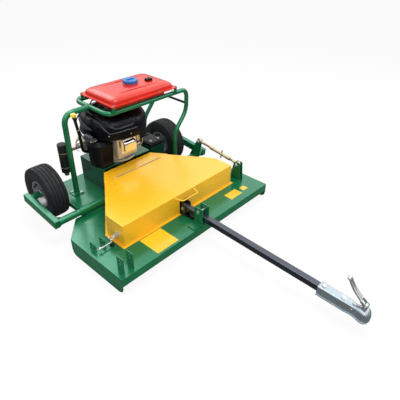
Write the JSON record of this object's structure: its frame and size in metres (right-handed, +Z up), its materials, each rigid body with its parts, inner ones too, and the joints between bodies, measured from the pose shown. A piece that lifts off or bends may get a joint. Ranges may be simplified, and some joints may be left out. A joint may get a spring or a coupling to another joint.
{
  "type": "finishing mower",
  "caption": "Tow-behind finishing mower: wide low deck with a hinged belt cover, petrol engine, fuel tank on a tube frame, height-set wheels and a ball-coupling tow bar.",
  "frame": {"origin": "centre of the bounding box at ground level, with the runners and wheels standing on the ground", "axes": "+Z up, -Y towards the tow bar (front), +X along the deck's width"},
  "size_m": [1.28, 2.0527, 0.7646],
  "materials": {
    "green_paint": "glossy enamel",
    "dark_green_paint": "satin enamel",
    "yellow_paint": "glossy enamel",
    "tank_red": "glossy moulded plastic",
    "cap_blue": "moulded plastic",
    "dipstick_yellow": "moulded plastic",
    "tyre": "ribbed rubber",
    "wheel_steel": "silver paint",
    "zinc_steel": "galvanised",
    "passivated_steel": "pale yellow zinc plating",
    "bar_black": "glossy black paint",
    "black_plastic": "satin moulded plastic",
    "battery_black": "moulded plastic case",
    "bare_steel": "machined",
    "engine_alloy": "cast aluminium",
    "chrome": "bright plating",
    "silencer_black": "heat-proof paint",
    "cast_housing": "painted casting",
    "belt_rubber": "fabric-faced rubber",
    "hose_rubber": "smooth hose",
    "spring_steel": "spring wire"
  },
  "bodies": {
    "root": {"deck_plate": "green_paint", "deck_skirts": "green_paint", "axle_sleeve": "green_paint", "housing_left": "cast_housing", "housing_centre": "cast_housing", "housing_right": "cast_housing", "belt_cover_rear": "yellow_paint", "bolt_clevis_left": "bar_black", "bolt_clevis_right": "bar_black", "tow_bracket": "green_paint", "tow_stop_bolt": "zinc_steel", "tow_pivot_bolt": "zinc_steel", "engine_plinth": "dark_green_paint", "crankcase": "engine_alloy", "cylinder_head": "engine_alloy", "valve_cover": "chrome", "engine_cowl": "black_plastic", "air_box": "black_plastic", "carburettor": "engine_alloy", "silencer": "silencer_black", "fuel_hose": "hose_rubber", "battery_box": "dark_green_paint", "battery": "battery_black", "guard_frame": "green_paint", "fuel_tank_upper": "tank_red", "fuel_tank_lower": "tank_red", "main_belt": "belt_rubber", "blade_belt": "belt_rubber", "idler_spring": "spring_steel"},
    "lid": {"belt_cover_lid": "yellow_paint", "lid_handle": "yellow_paint"},
    "left_swing_bolt": {"swing_bolt_left": "zinc_steel"},
    "right_swing_bolt": {"swing_bolt_right": "zinc_steel"},
    "wheel_arms": {"torsion_pipe": "green_paint", "wheel_arm_left": "green_paint", "wheel_arm_right": "green_paint", "height_crank": "green_paint"},
    "left_wheel": {"tyre_left": "tyre", "rim_left": "wheel_steel"},
    "right_wheel": {"tyre_right": "tyre", "rim_right": "wheel_steel"},
    "turnbuckle_front": {"link_front_end": "passivated_steel"},
    "turnbuckle_sleeve": {"link_sleeve": "passivated_steel"},
    "turnbuckle_rear": {"link_rear_end": "passivated_steel"},
    "tow": {"tow_bar": "bar_black", "coupling_body": "zinc_steel"},
    "lever": {"coupling_lever": "zinc_steel"},
    "crankshaft": {"engine_pulley": "bare_steel"},
    "left_spindle": {"spindle_left": "bare_steel", "blade_left": "bare_steel"},
    "centre_spindle": {"spindle_centre": "bare_steel", "blade_centre": "bare_steel"},
    "right_spindle": {"spindle_right": "bare_steel", "blade_right": "bare_steel"},
    "cap": {"fuel_cap": "cap_blue"},
    "oil_dipstick": {"dipstick": "dipstick_yellow"},
    "throttle": {"throttle_lever": "bare_steel"},
    "tension_arm": {"idler_arm": "bare_steel"},
    "tension_pulley": {"idler_pulley": "bar_black"}
  },
  "joints": [
    {"name": "lid_open", "type": "hinge", "parent": "root", "child": "lid", "pos_m": [0, 0.57318, 0.2483], "axis": [-1, 0, 0], "range_deg": [0, 85]},
    {"name": "left_swing_bolt_turn", "type": "hinge", "parent": "root", "child": "left_swing_bolt", "pos_m": [-0.497, 0.21818, 0.127], "axis": [0, 1, 0], "range_deg": [0, 90]},
    {"name": "right_swing_bolt_turn", "type": "hinge", "parent": "root", "child": "right_swing_bolt", "pos_m": [0.497, 0.21818, 0.127], "axis": [0, -1, 0], "range_deg": [0, 90]},
    {"name": "height_swing", "type": "hinge", "parent": "root", "child": "wheel_arms", "pos_m": [0, 0.57018, 0.1318], "axis": [-1, 0, 0], "range_deg": [0, 20]},
    {"name": "left_wheel_spin", "type": "hinge", "parent": "wheel_arms", "child": "left_wheel", "pos_m": [-0.502, 0.85818, 0.168], "axis": [1, 0, 0], "continuous": true},
    {"name": "right_wheel_spin", "type": "hinge", "parent": "wheel_arms", "child": "right_wheel", "pos_m": [0.502, 0.85818, 0.168], "axis": [1, 0, 0], "continuous": true},
    {"name": "turnbuckle_tilt", "type": "hinge", "parent": "root", "child": "turnbuckle_front", "pos_m": [0.54, 0.16318, 0.22], "axis": [1, 0, 0], "range_deg": [0, 0.5]},
    {"name": "turnbuckle_turn", "type": "hinge", "parent": "turnbuckle_front", "child": "turnbuckle_sleeve", "pos_m": [0.54, 0.23746, 0.23033], "axis": [0, 0.9905, 0.1378], "range_deg": [0, 4600]},
    {"name": "turnbuckle_extend", "type": "slide", "parent": "turnbuckle_front", "child": "turnbuckle_rear", "axis": [0, 0.9905, 0.1378], "range_m": [0, 0.0515]},
    {"name": "tow_bar_tilt", "type": "hinge", "parent": "root", "child": "tow", "pos_m": [0, 0.13818, 0.151], "axis": [-1, 0, 0], "range_deg": [0, 7]},
    {"name": "coupling_lever_lift", "type": "hinge", "parent": "tow", "child": "lever", "pos_m": [0, -0.99093, 0.16587], "axis": [1, 0, 0], "range_deg": [0, 45]},
    {"name": "centre_spindle_spin", "type": "hinge", "parent": "root", "child": "centre_spindle", "pos_m": [0, 0.38818, 0.105], "axis": [0, 0, 1], "continuous": true},
    {"name": "left_spindle_spin", "type": "hinge", "parent": "root", "child": "left_spindle", "pos_m": [-0.395, 0.25818, 0.105], "axis": [0, 0, 1], "continuous": true},
    {"name": "right_spindle_spin", "type": "hinge", "parent": "root", "child": "right_spindle", "pos_m": [0.395, 0.25818, 0.105], "axis": [0, 0, 1], "continuous": true},
    {"name": "crankshaft_spin", "type": "hinge", "parent": "root", "child": "crankshaft", "pos_m": [0, 0.79318, 0.105], "axis": [0, 0, 1], "continuous": true},
    {"name": "tension_arm_swing", "type": "hinge", "parent": "root", "child": "tension_arm", "pos_m": [-0.12, 0.47318, 0.188], "axis": [0, 0, 1], "range_deg": [-8, 0], "stiffness_Nm_per_rad": 20, "springref_deg": 17.19},
    {"name": "tension_pulley_spin", "type": "hinge", "parent": "tension_arm", "child": "tension_pulley", "pos_m": [-0.045, 0.58318, 0.215], "axis": [0, 0, 1], "continuous": true},
    {"name": "fuel_cap_turn", "type": "hinge", "parent": "root", "child": "cap", "pos_m": [0.14, 0.76318, 0.7366], "axis": [0, 0, 1], "range_deg": [0, 120]},
    {"name": "dipstick_pull", "type": "slide", "parent": "root", "child": "oil_dipstick", "axis": [-0.1594, -0.0228, 0.9869], "range_m": [0, 0.12]},
    {"name": "throttle_turn", "type": "hinge", "parent": "root", "child": "throttle", "pos_m": [-0.188, 0.82918, 0.427], "axis": [0, 0, -1], "range_deg": [0, 60]}
  ],
  "couplings": [
    {"joint": "left_spindle_spin", "follows": "centre_spindle_spin", "ratio": 1},
    {"joint": "right_spindle_spin", "follows": "centre_spindle_spin", "ratio": 1},
    {"joint": "crankshaft_spin", "follows": "centre_spindle_spin", "ratio": 1},
    {"joint": "tension_pulley_spin", "follows": "centre_spindle_spin", "ratio": 1.8333},
    {"joint": "turnbuckle_tilt", "follows": "height_swing", "ratio": 0.0212},
    {"joint": "turnbuckle_turn", "follows": "height_swing", "ratio": 228.8},
    {"joint": "turnbuckle_extend", "follows": "height_swing", "m_per_rad": 0.14565}
  ]
}
